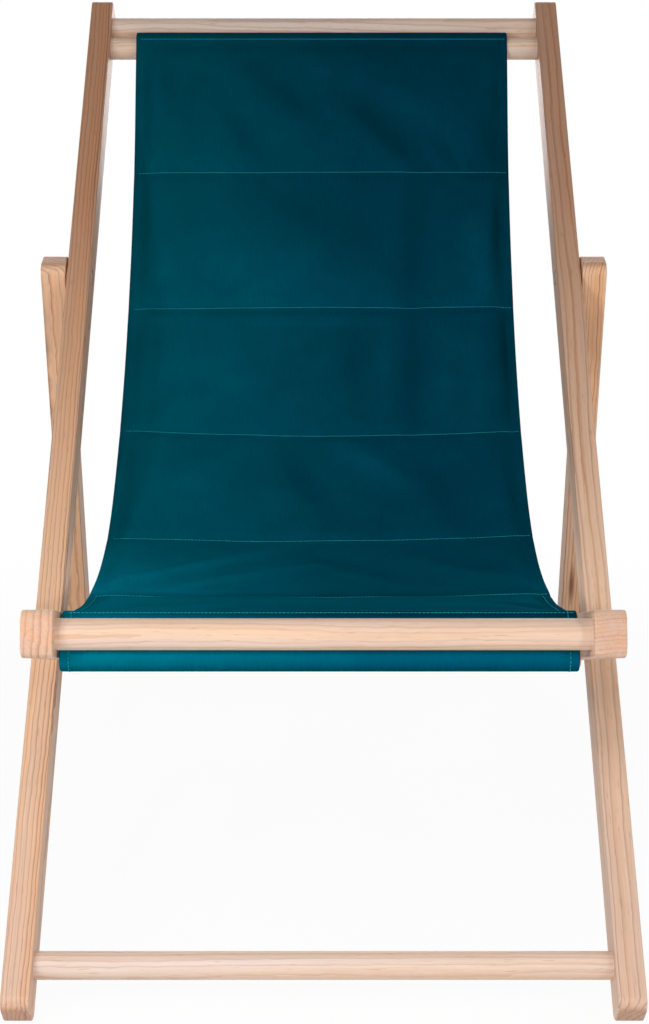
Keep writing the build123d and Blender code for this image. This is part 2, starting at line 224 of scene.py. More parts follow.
# Wood: where the late part of a growth ring peaks and falls off, as shares of the ring, and its strength
RING_PEAK = 0.92
RING_FALL = (1.0, 0.95)
RING_SHARPNESS = 1.6
RING_STRENGTHS = (0.50, 1.0)
PATCH_STRENGTHS = (0.60, 1.0)
# Wood: tones, shine and relief
FIBRE_TONES = (0.93, 1.05)
PORE_RANGE = (0.66, 0.74)
END_FACING = (0.75, 0.95)
END_SHARE = 0.30
WOOD_ROUGHNESS = (0.44, 0.58)
FIBRE_RELIEF = 0.6
RING_RELIEF = 0.35
PORE_RELIEF = 0.5
# A streak of resin: half sizes across, along and across the grain, its ragged edge and its strength
RESIN_SIZE = (0.0034, 0.026, 0.010)
RESIN_RAGGED = 0.9
RESIN_EDGE = (1.2, 0.3)
RESIN_STRENGTH = 0.85
RESIN_PLACE = (0.281, 0.209, 0.180)

# Steel: colours as seen on a screen, and scales per metre
STEEL_COLOUR = (176, 174, 170)
BRAD_COLOUR = (160, 156, 150)
DULL_COLOUR = (132, 128, 122)
STEEL_ROUGHNESS = 0.32
BRAD_ROUGHNESS = 0.38
BRUSH_SCALE = (300.0, 2600.0, 2600.0)
DULL_SCALE = 160.0
DULL_RANGE = (0.4, 0.7)
DULL_SHARE = 0.5
DULL_ROUGHNESS = 0.15
BRUSH_ROUGHNESS = 0.06

# Cloth and thread: colours as seen on a screen, and scales per metre
CLOTH_COLOUR = (0, 71, 87)
CLOTH_SECOND = (0, 77, 94)
CLOTH_GLOSS = (0, 150, 175)
CLOTH_SHEEN = (0, 128, 150)
THREAD_COLOUR = (40, 158, 168)
THREAD_SECOND = (24, 140, 152)
WARP_SCALE = 520.0
WEFT_SCALE = 430.0
SLUB_SCALE = (900.0, 60.0, 1.0)
CLOUD_SCALE = 22.0
CRUMPLE_SCALE = 90.0
TWIST_SCALE = (2600.0, 900.0, 900.0)
SLUB_TONES = (0.88, 1.10)
WEAVE_TONES = (0.90, 1.08)
WEAVE_RELIEF = 0.10
SLUB_RELIEF = 0.15
CLOTH_ROUGHNESS = (0.46, 0.56)
# Painted light and shade across the cloth: paler towards its left side, deeper towards its right; shares of
# red, green and blue
SIDE_REACH = (-0.20, 0.06)
LIT_SIDE_PAINT = (1.0, 1.46, 1.40, 1.0)
SHADED_SIDE_PAINT = (1.0, 0.88, 0.99, 1.0)
# Painted shade and light along the cut: painted shade at the top and on the panel at the front, a painted
# highlight on the front roll and painted shade on the cloth under it
TOP_REACH = (0.12, 0.45)
CLOTH_TOP_PAINTED_SHADE = 0.66
FRONT_BLEND = 0.01
FRONT_PAINTED_SHADE = 0.63
ROLL_ANGLE = 50.0
ROLL_BLEND = 0.02
ROLL_PAINTED_HIGHLIGHT = 2.7
UNDER_START = 0.046
UNDER_BLEND = 0.014
UNDER_PAINTED_SHADE = 0.55
# Painted light: the front left corner is paler by up to this share
LEFT_REACH = (-0.20, 0.0)
LEFT_PAINTED_LIGHT = 0.85
# Painted shade in the satin's valleys and painted light on its ridges
FOLD_HEIGHTS = (-0.0070, 0.0050)
FOLD_PAINTED_SHADES = (0.66, 1.24)

# Ranges that most values of a noise lie in
NOISE_WIDE = (0.2, 0.8)
NOISE_RANGE = (0.25, 0.75)
NOISE_MIDDLE = (0.3, 0.7)
# Middle of a noise in three directions, and plain white
HALF = (0.5, 0.5, 0.5)
WHITE = (1.0, 1.0, 1.0, 1.0)

# Stage: a floor that turns to white away from the chair, an even light from all sides, and the lamps
FLOOR_SIZE = 6.0
FLOOR_COLOUR = (0.86, 0.86, 0.86, 1.0)
WHITE_REACH = (0.55, 1.10)
WHITE_SHARES = (0.95, 1.0)
WORLD_STRENGTH = 0.12
LAMPS = {
    "front": {"place": (-0.60, -1.20, 1.00), "target": (0.0, -0.20, 0.35), "size": 0.16, "power": 4.2},
    "high": {"place": (-0.20, -1.30, 1.45), "target": (0.0, -0.30, 0.30), "size": 0.25, "power": 3.6},
    "low": {"place": (0.0, -1.00, 0.15), "target": (0.0, -0.20, 0.30), "size": 0.80, "power": 1.8},
    "left": {"place": (-1.10, -1.50, 0.90), "target": (0.0, -0.20, 0.35), "size": 0.16, "power": 6.6},
    "right": {"place": (1.00, -1.35, 0.75), "target": (0.0, -0.20, 0.35), "size": 0.16, "power": 4.6},
    "far_left": {"place": (-1.50, -0.60, 0.90), "target": (0.0, -0.10, 0.35), "size": 0.80, "power": 1.2},
    "far_right": {"place": (1.50, -0.60, 0.90), "target": (0.0, -0.10, 0.35), "size": 0.80, "power": 4.4},
    "behind": {"place": (0.0, 1.90, 1.00), "target": (0.0, 0.10, 0.35), "size": 1.20, "power": 16.0},
}


def unit(vector):
    length = math.hypot(vector[0], vector[1])
    return (vector[0] / length, vector[1] / length)


def plus(point, step, amount=1.0):
    return (point[0] + step[0] * amount, point[1] + step[1] * amount)


def minus(a, b):
    return (a[0] - b[0], a[1] - b[1])


def square_to(a, b):
    """Unit direction square to the line from a to b, away from the sitter."""
    way = unit(minus(b, a))
    return (-way[1], way[0])


def round_bar(node):
    """Centre in the side plane (y, z) and radius of a round bar or dowel."""
    low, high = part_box(node)
    return ((low.y + high.y) / 2, (low.z + high.z) / 2), (high.z - low.z) / 2


def bar_centre(node):
    return round_bar(node)[0]


def smooth_step(value):
    clipped = np.clip(value, 0.0, 1.0)
    return clipped * clipped * (3.0 - 2.0 * clipped)


def hermite(start, start_way, end, end_way, count):
    """Points of a smooth curve between two points with given unit directions, without its last point."""
    length = math.hypot(end[0] - start[0], end[1] - start[1])
    points = []
    for index in range(count):
        t = index / count
        at_start = 2 * t ** 3 - 3 * t ** 2 + 1
        at_end = 3 * t ** 2 - 2 * t ** 3
        along_start = (t ** 3 - 2 * t ** 2 + t) * length
        along_end = (t ** 3 - t ** 2) * length
        points.append(tuple(
            at_start * start[k] + along_start * start_way[k] + at_end * end[k] + along_end * end_way[k]
            for k in range(2)
        ))
    return points


class SlingEnd:
    """One end of the sling: a flap sewn under it, a tunnel round its dowel, and the wrap over its bar.

    Local axes: the first runs from the sling's bar to the bar beside it, the second to the sitter's side.
    """

    def __init__(self, bar, beside, dowel, hand, toward):
        self.centre, self.radius = round_bar(bar)
        self.first = unit(minus(bar_centre(beside), self.centre))
        self.second = (-hand * self.first[1], hand * self.first[0])
        dowel_centre, dowel_radius = round_bar(dowel)
        self.dowel = self.to_local(dowel_centre)
        self.inner = self.radius + BAR_GAP + CLOTH_THICKNESS / 2
        self.outer = self.inner + CLOTH_THICKNESS + FLAP_GAP
        self.ring = dowel_radius + BAR_GAP + CLOTH_THICKNESS / 2
        self.leave = self.leave_angle(toward)

    def to_local(self, point):
        offset = minus(point, self.centre)
        return (
            offset[0] * self.first[0] + offset[1] * self.first[1],
            offset[0] * self.second[0] + offset[1] * self.second[1],
        )

    def from_local(self, point):
        return plus(plus(self.centre, self.first, point[0]), self.second, point[1])

    def leave_angle(self, toward):
        """Local angle, in degrees, where the cloth leaves the bar straight towards a point."""
        a, b = self.to_local(toward)
        return math.degrees(math.atan2(b, a) - math.acos(self.inner / math.hypot(a, b))) % 360.0

    def on_bar(self, angle, radius):
        return (radius * math.cos(math.radians(angle)), radius * math.sin(math.radians(angle)))

    def on_ring(self, angle):
        return plus(self.dowel, self.on_bar(angle, self.ring))

    def wrap_radius(self, angle):
        """The outer layer comes down on the bar past the end of the flap."""
        share = smooth_step((angle - FLAP_ANGLE) / max(self.leave - FLAP_ANGLE, 1.0))
        return self.outer + (self.inner - self.outer) * float(share)

    def path(self):
        """Points from the flap's end, round the dowel and over the bar to where the cloth leaves it."""
        points = []
        for index in range(FLAP_STEPS):
            angle = FLAP_ANGLE + (BAR_RELEASE - FLAP_ANGLE) * index / FLAP_STEPS
            points.append(self.on_bar(angle, self.inner))
        release = math.radians(BAR_RELEASE)
        into = math.radians(RING_START)
        points += hermite(
            self.on_bar(BAR_RELEASE, self.inner), (math.sin(release), -math.cos(release)),
            self.on_ring(RING_START), (-math.sin(into), math.cos(into)), ENTRY_STEPS,
        )
        for index in range(RING_STEPS):
            points.append(self.on_ring(RING_START + (RING_END - RING_START) * index / RING_STEPS))
        out = math.radians(RING_END)
        points += hermite(
            self.on_ring(RING_END), (-math.sin(out), math.cos(out)),
            (self.outer, 0.0), (0.0, 1.0), EXIT_STEPS,
        )
        for index in range(WRAP_STEPS + 1):
            angle = self.leave * index / WRAP_STEPS
            points.append(self.on_bar(angle, self.wrap_radius(angle)))
        return [self.from_local(point) for point in points]

    def wrap_distance(self, angle):
        """Distance along the cloth from a local angle on the wrap to where the cloth leaves the bar."""
        return math.radians(self.leave - angle) * (self.outer + self.inner) / 2


class Sling:
    """The cloth as a surface: distance along it from the top flap, distance across it, and face or back."""

    def __init__(self):
        top_centre = bar_centre("sling_bar_top")
        front_centre = bar_centre("sling_bar_front")
        line = unit(minus(front_centre, top_centre))
        below = square_to(top_centre, front_centre)
        faces = [plus(plus(top_centre, line, along), below, sag) for along, sag in SEAMS]
        around = [top_centre] + faces + [front_centre]
        middles = []
        for index, face in enumerate(faces):
            way = square_to(around[index], around[index + 2])
            middles.append(plus(face, way, SEAM_THICKNESS / 2))
        self.top = SlingEnd("sling_bar_top", "top_bar", "sling_dowel_top", 1, middles[0])
        self.front = SlingEnd("sling_bar_front", "front_bar", "sling_dowel_front", -1, middles[-1])
        self.lay_out(middles)

    def lay_out(self, middles):
        """The cloth's middle line in the side plane, its normals and the distances of its seams."""
        points = self.top.path()
        knots = [points.pop()] + middles + [self.front.path()[-1]]
        ways = [unit(minus(knots[1], knots[0]))]
        ways += [unit(minus(knots[i + 1], knots[i - 1])) for i in range(1, len(knots) - 1)]
        ways.append(unit(minus(knots[-1], knots[-2])))
        marks = []
        for i in range(len(knots) - 1):
            marks.append(len(points))
            points += hermite(knots[i], ways[i], knots[i + 1], ways[i + 1], SPAN_STEPS)
        marks.append(len(points))
        points += self.front.path()[::-1]
        self.points = np.array(points)
        steps = np.hypot(*np.diff(self.points, axis=0).T)
        self.along = np.concatenate([[0.0], np.cumsum(steps)])
        self.length = float(self.along[-1])
        ahead = np.gradient(self.points, self.along, axis=0)
        ahead /= np.linalg.norm(ahead, axis=1)[:, None]
        self.normals = np.stack([ahead[:, 1], -ahead[:, 0]], axis=1)
        self.marks = [float(self.along[mark]) for mark in marks]
        self.seams = self.marks[1:-1]

    def drift(self, s, x):
        """How far the cloth's pattern runs ahead at a place, from the seams' drifts."""
        u = x / (SLING_WIDTH / 2)
        places = [self.marks[0]] + self.seams + [self.marks[-1]]
        total = np.zeros(np.broadcast(s, x).shape)
        for index, (left, middle, right) in enumerate(SEAM_DRIFTS):
            bend = (left + right) / 2 - middle
            skew = (right - left) / 2
            near = np.interp(s, places[index:index + 3], [0.0, 1.0, 0.0], left=0.0, right=0.0)
            total = total + near * (middle + skew * u + bend * u * u)
        return total

    def half_thickness(self, s, x):
        """Half the cloth's thickness: puffed between the seams, flat at the hems, rounded at the edges."""
        inside = SLING_WIDTH / 2 - np.abs(x)
        pattern = s - self.drift(s, x)
        crown = np.zeros(pattern.shape)
        for start, end in zip(self.marks[:-1], self.marks[1:]):
            share = np.clip((pattern - start) / (end - start), 0.0, 1.0)
            near = np.minimum(pattern - start, end - pattern)
            arch = 4.0 * share * (1.0 - share)
            puff = SEAM_PUFF * smooth_step(near / CROWN_RISE) + (1.0 - SEAM_PUFF) * arch
            crown = np.where((pattern > start) & (pattern < end), puff, crown)
        crown = crown * smooth_step((inside - CROWN_INSET) / CROWN_EDGE) * CHANNEL_CROWN
        base = np.interp(
            s, [self.marks[0] - BAR_BLEND, self.marks[0], self.marks[-1], self.marks[-1] + BAR_BLEND],
            [CLOTH_THICKNESS / 2, SEAM_THICKNESS / 2, SEAM_THICKNESS / 2, CLOTH_THICKNESS / 2],
        )
        hem = smooth_step((HEM_WIDTH - inside) / HEM_BLEND) * self.on_face(s)
        base = base + (HEM_THICKNESS / 2 - base) * hem
        rounded = np.sqrt(np.clip(1.0 - (1.0 - inside / EDGE_ROUND) ** 2, EDGE_LEAST, 1.0))
        return (base + crown) * np.where(inside < EDGE_ROUND, rounded, 1.0)

    def on_face(self, s):
        """1 between the two bars, 0 on the wraps, tunnels and flaps."""
        after = smooth_step((s - self.marks[0] + BAR_BLEND / 2) / BAR_BLEND)
        before = smooth_step((self.marks[-1] + BAR_BLEND / 2 - s) / BAR_BLEND)
        return after * before

    def fold(self, s, x, channel, start, end, width, height):
        """Height of one fold, which is lower at its ends and beside the seams."""
        first, last = self.marks[channel], self.marks[channel + 1]
        a, b = (
            np.array([across * SLING_WIDTH / 2, first + (last - first) * down])
            for across, down in (start, end)
        )
        run = b - a
        t = np.clip(((x - a[0]) * run[0] + (s - a[1]) * run[1]) / run.dot(run), 0.0, 1.0)
        away = np.hypot(x - a[0] - run[0] * t, s - a[1] - run[1] * t)
        seam_near = np.minimum(np.abs(s - first), np.abs(s - last))
        held = FOLD_REST + (1.0 - FOLD_REST) * smooth_step(seam_near / SEAM_HOLD)
        taper = FOLD_REST + (1.0 - FOLD_REST) * np.sin(math.pi * np.clip(t, FOLD_END, 1.0 - FOLD_END))
        inside = (s > first - FOLD_OVERRUN) & (s < last + FOLD_OVERRUN)
        return np.where(inside, FOLD_DEPTH * height * np.exp(-(away / width) ** 2) * held * taper, 0.0)

    def folds(self, s, x):
        """Height of all folds: ridges stand towards the sitter, valleys away."""
        total = np.zeros(np.broadcast(s, x).shape)
        for fold in FOLDS:
            total = total + self.fold(s, x, *fold)
        return total

    def rumple(self, s, x):
        first, second = (np.sin(x * across + s * along) for across, along in RUMPLE_WAVES)
        return RUMPLE_HEIGHT * first * second * self.on_face(s)

    def lift(self, s, x):
        """How far the whole cloth stands towards the sitter from its middle line: sag, folds and puckers."""
        half = SLING_WIDTH / 2
        u = x / half
        share = np.clip((s - self.marks[0]) / (self.marks[-1] - self.marks[0]), 0.0, 1.0)
        lift = -WIDTH_SAG * np.sin(math.pi * share) ** SAG_POWER * (1.0 - u * u)
        lift = lift + self.rumple(s, x)
        lift = lift + self.folds(s, x)
        loose = (s - self.marks[-1] - self.front.wrap_distance(FRONT_PUFF_ANGLE)) / FRONT_PUFF_REACH
        lift = lift + FRONT_PUFF * np.exp(-loose ** 2)
        for seam in self.seams:
            for hand in (-1, 1):
                end = hand * (half - STITCH_INSET)
                away = np.hypot(x - end, s - seam)
                lift = lift - PUCKER_DEPTH * np.exp(-(away / PUCKER_REACH) ** 2)
        return lift

    def shift(self, s):
        middle = (self.marks[0] + self.marks[-1]) / 2
        return np.interp(s, [self.marks[0], middle, self.marks[-1]], SLING_SHIFTS)

    def normal(self, s):
        y = np.interp(s, self.along, self.normals[:, 0])
        z = np.interp(s, self.along, self.normals[:, 1])
        length = np.hypot(y, z)
        return y / length, z / length

    def surface(self, s, x, side, proud=0.0):
        """Points of the face (side 1) or back (side -1), standing proud of it by a distance."""
        s, x = np.broadcast_arrays(s, x)
        normal_y, normal_z = self.normal(s)
        out = self.lift(s, x) + side * (self.half_thickness(s, x) + proud)
        y = np.interp(s, self.along, self.points[:, 0]) + out * normal_y
        z = np.interp(s, self.along, self.points[:, 1]) + out * normal_z
        return np.stack([x + self.shift(s), y, z], axis=-1)


def row_step(form, place):
    """Spacing of the rows at a place between the bars."""
    nearest = min(abs(place - seam) for seam in form.seams)
    for reach, step in SEAM_ROW_STEPS:
        if nearest < reach:
            return step
    return FACE_ROW_STEP


def sling_rows(form):
    """Distances along the cloth for the mesh: close together on the wraps and at the seams."""
    rows = list(np.arange(0.0, form.marks[0], WRAP_ROW_STEP))
    place = form.marks[0]
    while place < form.marks[-1]:
        rows.append(place)
        place += row_step(form, place)
    rows += list(np.arange(form.marks[-1], form.length, WRAP_ROW_STEP))
    rows.append(form.length)
    return np.array(rows)


def sling_columns():
    """Distances across the cloth for the mesh: close together at the hems."""
    left = [-SLING_WIDTH / 2 + step for step in EDGE_COLUMNS]
    middle = list(np.arange(left[-1] + COLUMN_STEP, -left[-1] - COLUMN_MARGIN, COLUMN_STEP))
    return np.array(left + middle + [-place for place in reversed(left)])


def new_object(name, vertices, faces):
    mesh = bpy.data.meshes.new(name)
    mesh.from_pydata(vertices, [], faces)
    mesh.update()
    made = bpy.data.objects.new(name, mesh)
    bpy.context.scene.collection.objects.link(made)
    return made


def outward(made):
    """Turns all faces of a closed mesh outwards and shades it smooth."""
    work = bmesh.new()
    work.from_mesh(made.data)
    bmesh.ops.recalc_face_normals(work, faces=work.faces)
    work.to_mesh(made.data)
    work.free()
    made.data.shade_smooth()


def shell_faces(count, width):
    """Faces of two layers of rows and columns, closed along their edges."""

    def at(row, column, layer):
        return layer * count * width + row * width + column

    def wall(first, second):
        return [at(*first, 0), at(*second, 0), at(*second, 1), at(*first, 1)]

    faces = []
    for row in range(count - 1):
        for column in range(width - 1):
            corners = [(row, column), (row, column + 1), (row + 1, column + 1), (row + 1, column)]
            faces.append([at(r, c, 0) for r, c in corners])
            faces.append([at(r, c, 1) for r, c in reversed(corners)])
    for row in range(count - 1):
        for column in (0, width - 1):
            faces.append(wall((row, column), (row + 1, column)))
    for column in range(width - 1):
        for row in (0, count - 1):
            faces.append(wall((row, column), (row, column + 1)))
    return faces


def make_sling(form):
    """The quilted cloth as one closed mesh, with a UV map of its cut and an attribute of its folds."""
    rows = sling_rows(form)[:, None]
    columns = sling_columns()[None, :]
    layers = [form.surface(rows, columns, side).reshape(-1, 3) for side in (1, -1)]
    made = new_object("sling_cloth", np.concatenate(layers).tolist(), shell_faces(rows.size, columns.size))
    outward(made)
    cut = np.stack(np.broadcast_arrays(columns, rows), axis=-1).reshape(-1, 2)
    cut = np.concatenate([cut, cut])
    corner = np.zeros(len(made.data.loops), dtype=np.int32)
    made.data.loops.foreach_get("vertex_index", corner)
    layer = made.data.uv_layers.new(name="cut")
    layer.data.foreach_set("uv", cut[corner].astype(np.float32).ravel())
    folds = form.folds(rows, columns).ravel()
    depth = made.data.attributes.new("fold", "FLOAT", "POINT")
    depth.data.foreach_set("value", np.concatenate([folds, -folds]).astype(np.float32))
    return made


def stitch_rows(form):
    """Rows of stitching as (distances along, distances across, side, down): down the cloth or across it."""
    half = SLING_WIDTH / 2 - STITCH_INSET
    across = np.arange(-half, half, STITCH_PITCH)
    rows = []
    for seam in form.seams:
        line = seam + form.drift(np.full(across.shape, seam), across)
        for side in (1, -1):
            rows.append((line, across, side, False))
    places = [form.marks[-1] + form.front.wrap_distance(angle) for angle in FRONT_STITCH_ANGLES]
    places.append(form.marks[0] - form.top.wrap_distance(TOP_STITCH_ANGLE))
    for place in places:
        rows.append((np.full(across.shape, place), across, 1, False))
    down = np.arange(form.seams[-1], form.length - HEM_STITCH_END, STITCH_PITCH)
    for hand in (-1, 1):
        edge = np.full(down.shape, hand * (SLING_WIDTH / 2 - HEM_STITCH_INSET))
        rows.append((down, edge, 1, True))
    return rows


def stitch_points(form, along, across, side, down):
    """Points of every thread in one row of stitching, ring by ring."""
    normal_y, normal_z = form.normal(along)
    run = (STITCH_LENGTH, 0.0) if down else (0.0, STITCH_LENGTH)
    points = []
    for share, width, height in STITCH_RINGS:
        centre = form.surface(along + run[0] * share, across + run[1] * share, side, THREAD_RADIUS * height)
        for corner in range(STITCH_SIDES):
            turn = 2.0 * math.pi * corner / STITCH_SIDES
            proud = side * THREAD_RADIUS * width * math.sin(turn)
            beside = THREAD_RADIUS * width * math.cos(turn)
            point = centre.copy()
            point[:, 1] += proud * normal_y
            point[:, 2] += proud * normal_z
            if down:
                point[:, 0] += beside
            else:
                point[:, 1] += beside * normal_z
                point[:, 2] -= beside * normal_y
            points.append(point)
    return np.stack(points, axis=1)


def stitch_faces(start):
    """Faces of one closed thread, from the number of its first point."""
    faces = []
    for ring in range(len(STITCH_RINGS) - 1):
        first = start + ring * STITCH_SIDES
        for index in range(STITCH_SIDES):
            after = (index + 1) % STITCH_SIDES
            faces.append([
                first + index, first + after, first + STITCH_SIDES + after, first + STITCH_SIDES + index,
            ])
    last = start + (len(STITCH_RINGS) - 1) * STITCH_SIDES
    faces.append(list(range(start, start + STITCH_SIDES)))
    faces.append(list(range(last, last + STITCH_SIDES)))
    return faces


def make_stitching(form):
    """Every stitch of the seams as a small closed thread, lying on the cloth."""
    vertices = []
    faces = []
    for row in stitch_rows(form):
        for stitch in stitch_points(form, *row):
            faces += stitch_faces(len(vertices))
            vertices += stitch.tolist()
    made = new_object("sling_stitching", vertices, faces)
    outward(made)
    return made


def linear(colour):
    """A screen colour from 0 to 255 as linear light."""
    parts = []
    for part in colour:
        value = part / 255.0
        parts.append(value / 12.92 if value <= 0.04045 else ((value + 0.055) / 1.055) ** 2.4)
    return (*parts, 1.0)


class Graph:
    """Builds the nodes of one material or of the world."""

    def __init__(self, owner):
        owner.use_nodes = True
        self.tree = owner.node_tree
        self.tree.nodes.clear()

    def node(self, kind, inputs=None, **settings):
        made = self.tree.nodes.new("ShaderNode" + kind)
        for key, value in settings.items():
            setattr(made, key, value)
        for key, value in (inputs or {}).items():
            if isinstance(value, bpy.types.NodeSocket):
                self.tree.links.new(value, made.inputs[key])
            else:
                made.inputs[key].default_value = value
        return made

    def place(self, kind="Object"):
        return self.node("TexCoord").outputs[kind]

    def math(self, operation, a, b=0.0):
        return self.node("Math", {0: a, 1: b}, operation=operation).outputs[0]

    def add(self, a, b):
        return self.math("ADD", a, b)

    def times(self, a, b):
        return self.math("MULTIPLY", a, b)

    def vector(self, operation, a, b):
        return self.node("VectorMath", {0: a, 1: b}, operation=operation).outputs[0]

    def length(self, vector):
        return self.node("VectorMath", {0: vector}, operation="LENGTH").outputs["Value"]

    def axes(self, vector):
        return self.node("SeparateXYZ", {0: vector}).outputs

    def stretch(self, vector, scale):
        return self.node("Mapping", {"Vector": vector, "Scale": scale}).outputs[0]

    def turned(self, vector, turn):
        return self.node("Mapping", {"Vector": vector, "Rotation": turn}).outputs[0]

    def noise(self, vector, scale=1.0, detail=3.0, roughness=0.5):
        inputs = {"Vector": vector, "Scale": scale, "Detail": detail, "Roughness": roughness}
        return self.node("TexNoise", inputs).outputs[0]

    def level(self, value, low, high, to_low=0.0, to_high=1.0):
        made = self.node("MapRange", {0: value, 1: low, 2: high, 3: to_low, 4: to_high}, clamp=True)
        return made.outputs[0]

    def mix(self, share, a, b, blend="MIX"):
        made = self.node("Mix", {0: share, 6: a, 7: b}, data_type="RGBA", blend_type=blend)
        return made.outputs[2]

    def tint(self, colour, by):
        return self.mix(1.0, colour, by, "MULTIPLY")

    def shade(self, colour, value):
        """Makes a colour lighter or darker by a factor."""
        grey = self.node("CombineColor", {0: value, 1: value, 2: value}).outputs[0]
        return self.tint(colour, grey)

    def bump(self, height, strength, distance):
        made = self.node("Bump", {"Height": height, "Strength": strength, "Distance": distance})
        return made.outputs[0]

    def seen(self):
        """1 where the camera looks, straight, in gloss or through something clear, and 0 for other light."""
        path = self.node("LightPath").outputs
        seen = self.math("MAXIMUM", path["Is Camera Ray"], path["Is Glossy Ray"])
        return self.math("MAXIMUM", seen, path["Is Transmission Ray"])

    def output(self, kind, shader):
        self.node(kind, {"Surface": shader.outputs[0]})


def finished(name, build, *details):
    """A material whose nodes a function builds."""
    material = bpy.data.materials.new(name)
    g = Graph(material)
    g.output("OutputMaterial", build(g, *details))
    return material


def pushed(g, start, grain, scale, amount):
    """Moves places square to the grain by a slow noise."""
    noise = g.node("TexNoise", {"Vector": g.stretch(grain, scale), "Scale": 1.0, "Detail": 2.0}).outputs[1]
    push = g.vector("MULTIPLY", g.vector("SUBTRACT", noise, HALF), (amount, 0.0, amount))
    return g.vector("ADD", start, push)


def late_wood(g, grain, bent, look):
    """The dark late part of the growth rings, each ring with its own width and strength."""
    radius = g.length(g.vector("MULTIPLY", bent, (1.0, 0.0, 1.0)))
    uneven = g.noise(g.stretch(bent, UNEVEN_SCALE), detail=2.0)
    phase = g.add(g.math("DIVIDE", radius, look["ring_gap"]), g.times(uneven, look["uneven"]))
    ring = g.math("FRACT", phase)
    own = g.node("TexWhiteNoise", {"W": g.math("FLOOR", phase)}, noise_dimensions="1D").outputs["Value"]
    onset = g.level(own, 0.0, 1.0, *look["onset"])
    late = g.times(g.level(ring, onset, RING_PEAK), g.level(ring, *RING_FALL))
    late = g.times(g.math("POWER", late, RING_SHARPNESS), g.level(own, 0.0, 1.0, *RING_STRENGTHS))
    patch = g.noise(g.stretch(grain, STRENGTH_SCALE))
    return g.times(late, g.level(patch, *NOISE_MIDDLE, *PATCH_STRENGTHS))


def painted_height_light(g, colour, place, top_tint):
    """Paints shade on a back rail towards its top and cool bounce light at its foot."""
    height = g.axes(place)[2]
    foot = g.mix(g.level(height, *FOOT_HEIGHTS), linear(RAIL_FOOT_PAINTED_BOUNCE), WHITE)
    return g.tint(colour, g.mix(g.level(height, *TINT_HEIGHTS), foot, linear(top_tint)))


def resin_streak(g, colour, place, turn, streak, centre):
    """Lays a dark streak of resin along the grain."""
    spot = g.turned(g.vector("SUBTRACT", place, centre), turn)
    away = g.length(g.stretch(spot, [1.0 / size for size in RESIN_SIZE]))
    away = g.add(away, g.times(g.math("SUBTRACT", streak, 0.5), RESIN_RAGGED))
    return g.mix(g.level(away, *RESIN_EDGE, 0.0, RESIN_STRENGTH), colour, linear(RESIN_COLOUR))


def end_grain(g, colour, turn, dark):
    """Darkens the faces that are square to the grain."""
    facing = g.axes(g.turned(g.place("Normal"), turn))[1]
    end = g.level(g.math("ABSOLUTE", facing), *END_FACING)
    return g.mix(g.times(end, END_SHARE), colour, linear(dark))


def wood(g, turn, centre, look):
    """Sawn wood: growth rings round a pith beside the piece, fibres, pores and streaks of tone."""
    place = g.place()
    shift = (-centre[0] - look["pith"][0], look["seed"], -centre[1] - look["pith"][1])
    grain = g.node("Mapping", {"Vector": place, "Location": shift, "Rotation": turn}).outputs[0]
    bent = pushed(g, grain, grain, WANDER_SCALE, look["wander"])
    bent = pushed(g, bent, grain, RIPPLE_SCALE, look["ripple"])
    late = late_wood(g, grain, bent, look)
    fibre = g.noise(g.stretch(grain, FIBRE_SCALE), roughness=0.6)
    streak = g.noise(g.stretch(bent, STREAK_SCALE), detail=4.0, roughness=0.6)
    tone = g.noise(g.stretch(bent, TONE_SCALE))
    pores = g.level(g.noise(g.stretch(grain, PORE_SCALE), detail=1.0), *PORE_RANGE)

    colour = g.mix(g.times(late, look["contrast"]), linear(look["light"]), linear(look["dark"]))
    colour = g.shade(colour, g.level(fibre, *NOISE_RANGE, *FIBRE_TONES))
    colour = g.shade(colour, g.level(streak, *NOISE_RANGE, 1.0 - look["streak"], 1.0 + look["streak"]))
    colour = g.tint(colour, g.mix(g.level(tone, *NOISE_MIDDLE), linear(GOLDEN_TINT), linear(COOL_TINT)))
    colour = g.mix(g.times(pores, look["pores"]), colour, linear(PORE_COLOUR))
    if "top_tint" in look:
        # Painted shade towards the top of a back rail, painted bounce light at its foot
        colour = painted_height_light(g, colour, place, look["top_tint"])
    if "resin" in look:
        colour = resin_streak(g, colour, place, turn, streak, look["resin"])
    colour = end_grain(g, colour, turn, look["dark"])

    height = g.add(g.times(fibre, FIBRE_RELIEF), g.times(late, RING_RELIEF))
    height = g.math("SUBTRACT", height, g.times(pores, PORE_RELIEF))
    return g.node("BsdfPrincipled", {
        "Base Color": colour, "Roughness": g.level(streak, *NOISE_WIDE, *WOOD_ROUGHNESS),
        "Specular IOR Level": 0.35, "Coat Weight": 0.06, "Coat Roughness": 0.35,
        "Normal": g.bump(height, strength=0.22, distance=0.0005),
    })


def steel(g, colour, roughness):
    """Zinc plated steel with fine brushing and a little dullness."""
    brush = g.noise(g.stretch(g.place(), BRUSH_SCALE), detail=2.0)
    dull = g.noise(g.place(), DULL_SCALE)
    shade = g.mix(g.level(dull, *DULL_RANGE, 0.0, DULL_SHARE), linear(colour), linear(DULL_COLOUR))
    rough = g.add(
        g.level(brush, *NOISE_MIDDLE, -BRUSH_ROUGHNESS, BRUSH_ROUGHNESS),
        g.level(dull, *NOISE_MIDDLE, roughness, roughness + DULL_ROUGHNESS),
    )
    return g.node("BsdfPrincipled", {
        "Base Color": shade, "Metallic": 1.0, "Roughness": rough,
        "Normal": g.bump(brush, strength=0.15, distance=0.0002),
    })


def plain_weave(g, cut):
    """Threads down the cut times threads across it."""
    threads = []
    for direction, scale in (("X", WARP_SCALE), ("Y", WEFT_SCALE)):
        inputs = {"Vector": cut, "Scale": scale, "Distortion": 0.6, "Detail": 1.0}
        threads.append(g.node("TexWave", inputs, bands_direction=direction).outputs[1])
    return g.times(*threads)


